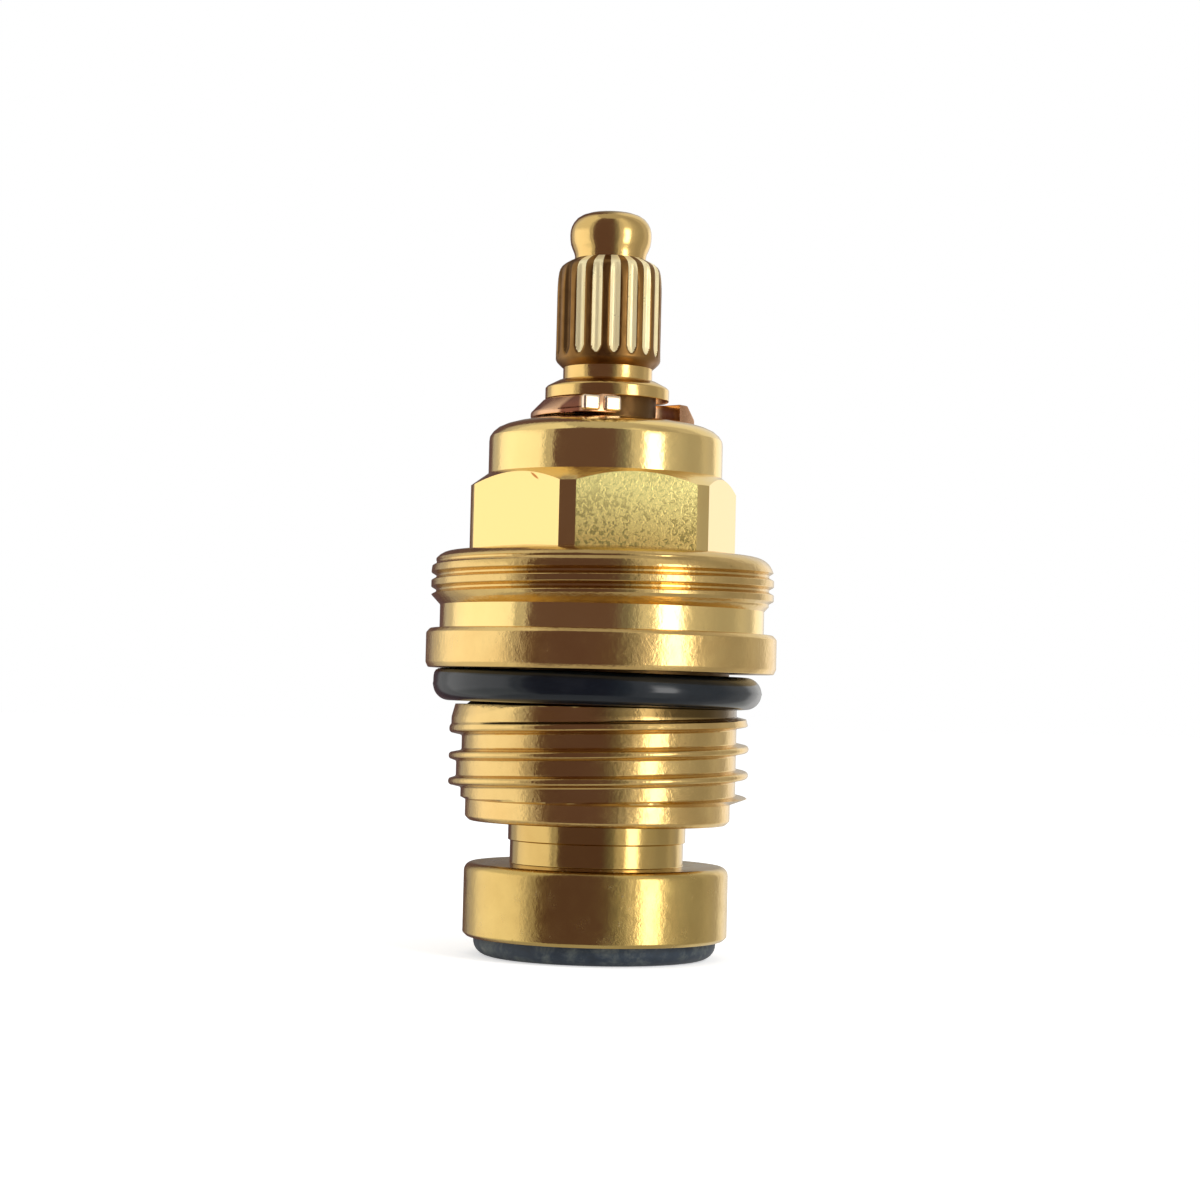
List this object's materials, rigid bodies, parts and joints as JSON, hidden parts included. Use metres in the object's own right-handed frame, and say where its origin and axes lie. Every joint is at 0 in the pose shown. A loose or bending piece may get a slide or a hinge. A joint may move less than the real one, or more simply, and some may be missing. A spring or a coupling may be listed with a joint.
{
  "type": "faucet cartridge",
  "caption": "Brass compression faucet cartridge: splined spindle in a hexagon bonnet over a threaded flange with rubber ring, pipe-thread seat and a sliding piston with a rubber washer.",
  "frame": {"origin": "centre of the seat washer's sealing face, on the cartridge's axis", "axes": "+Z along the axis from the seat washer towards the spindle's knob, -Y out of one hexagon flat"},
  "size_m": [0.0246, 0.0246, 0.052],
  "materials": {
    "body_brass": "turned and polished",
    "spindle_brass": "turned and polished",
    "piston_brass": "turned",
    "screw_brass": "turned",
    "clip_bronze": "stamped bronze strip",
    "ring_rubber": "moulded, slightly glossy",
    "washer_rubber": "moulded, matte",
    "ptfe": "smooth"
  },
  "bodies": {
    "valve_body": {"valve_body": "body_brass", "flange_o_ring": "ring_rubber", "thrust_washer": "ptfe"},
    "spindle": {"spindle": "spindle_brass", "spindle_o_ring_lower": "ring_rubber", "spindle_o_ring_upper": "ring_rubber", "retaining_clip": "clip_bronze"},
    "piston": {"piston": "piston_brass", "piston_o_ring": "ring_rubber", "seat_washer": "washer_rubber", "washer_screw": "screw_brass"}
  },
  "joints": [
    {"name": "spindle_turn", "type": "hinge", "parent": "valve_body", "child": "spindle", "pos_m": [0, 0, 0.034], "axis": [0, 0, 1], "range_deg": [-324, 450]},
    {"name": "piston_slide", "type": "slide", "parent": "valve_body", "child": "piston", "axis": [0, 0, 1], "range_m": [-0.0018, 0.0025]}
  ],
  "couplings": [
    {"joint": "spindle_turn", "follows": "piston_slide", "rad_per_m": 3141.6}
  ]
}
